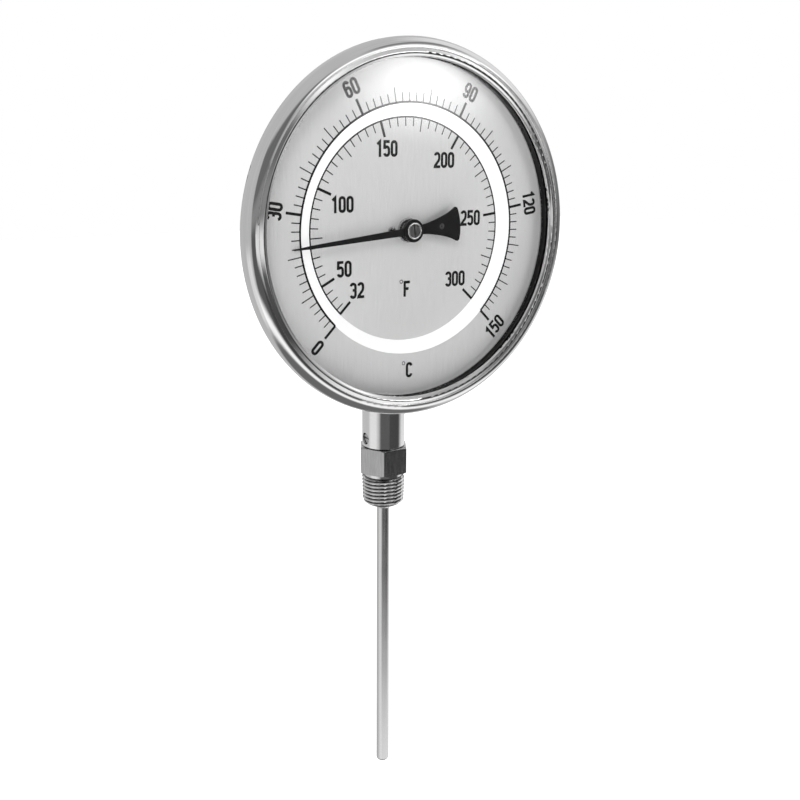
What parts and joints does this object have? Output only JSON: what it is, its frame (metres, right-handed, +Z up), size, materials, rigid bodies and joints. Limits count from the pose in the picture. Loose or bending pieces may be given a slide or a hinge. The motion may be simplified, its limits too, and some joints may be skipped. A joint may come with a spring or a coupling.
{
  "type": "dial thermometer",
  "caption": "Stainless bimetal dial thermometer: round windowed case on a bottom stem with a threaded hexagon, and a pointer turned by a coil in the stem.",
  "frame": {"origin": "on the stem axis, at the lower face of the hexagon where the thread starts", "axes": "+Z up along the stem towards the dial, +Y to the back of the case so the dial faces -Y, +X to the right of a reader"},
  "size_m": [0.168, 0.0493, 0.364],
  "materials": {
    "stainless_satin": "satin brushed stainless steel",
    "stainless_polished": "polished stainless steel",
    "stainless_drawn": "drawn stainless steel tube",
    "bimetal_strip": "dull bimetal strip",
    "dial_print": "brushed satin dial with black print",
    "pointer_black": "black satin paint",
    "window": "clear flat glass",
    "gasket_rubber": "black rubber",
    "seal_rubber": "black rubber",
    "brass_turned": "turned brass",
    "zinc_screw": "bright screw steel",
    "frame_steel": "plain milled steel"
  },
  "bodies": {
    "stem": {"process_connection": "stainless_satin", "stem_weld": "stainless_drawn", "stem_tube": "stainless_drawn", "stem_tip": "stainless_drawn", "bimetal_helix": "bimetal_strip", "helix_anchor": "frame_steel", "shaft_guides": "brass_turned", "neck_seal": "seal_rubber"},
    "head": {"neck_sleeve": "stainless_polished", "lock_screw": "zinc_screw", "case_body": "stainless_satin", "bezel_ring": "stainless_polished", "window_glass": "window", "window_gasket": "gasket_rubber", "spacer_ring": "stainless_satin", "dial_plate": "dial_print", "dial_screws": "zinc_screw", "movement_frame": "frame_steel", "frame_screws": "zinc_screw", "spindle_front_bush": "zinc_screw", "spindle_rear_bush": "brass_turned", "shaft_top_bush": "brass_turned"},
    "shaft": {"stem_shaft": "frame_steel", "shaft_gear": "brass_turned", "shaft_collar": "brass_turned", "helix_hub": "brass_turned"},
    "needle": {"pointer": "pointer_black", "pointer_ring": "stainless_polished", "pointer_cap": "zinc_screw", "pointer_spindle": "frame_steel", "spindle_gear": "brass_turned", "spindle_clip": "frame_steel"}
  },
  "joints": [
    {"name": "head_swivel", "type": "hinge", "parent": "stem", "child": "head", "pos_m": [0, 0, 0.03], "axis": [0, 0, 1], "range_deg": [-180, 180]},
    {"name": "shaft_turn", "type": "hinge", "parent": "head", "child": "shaft", "pos_m": [0, 0, 0.1], "axis": [0, 0, 1], "range_deg": [-230.4, 39.6]},
    {"name": "pointer_turn", "type": "hinge", "parent": "head", "child": "needle", "pos_m": [0, 0, 0.12], "axis": [0, 1, 0], "range_deg": [-39.6, 230.4]}
  ],
  "couplings": [
    {"joint": "shaft_turn", "follows": "pointer_turn", "ratio": -1}
  ]
}
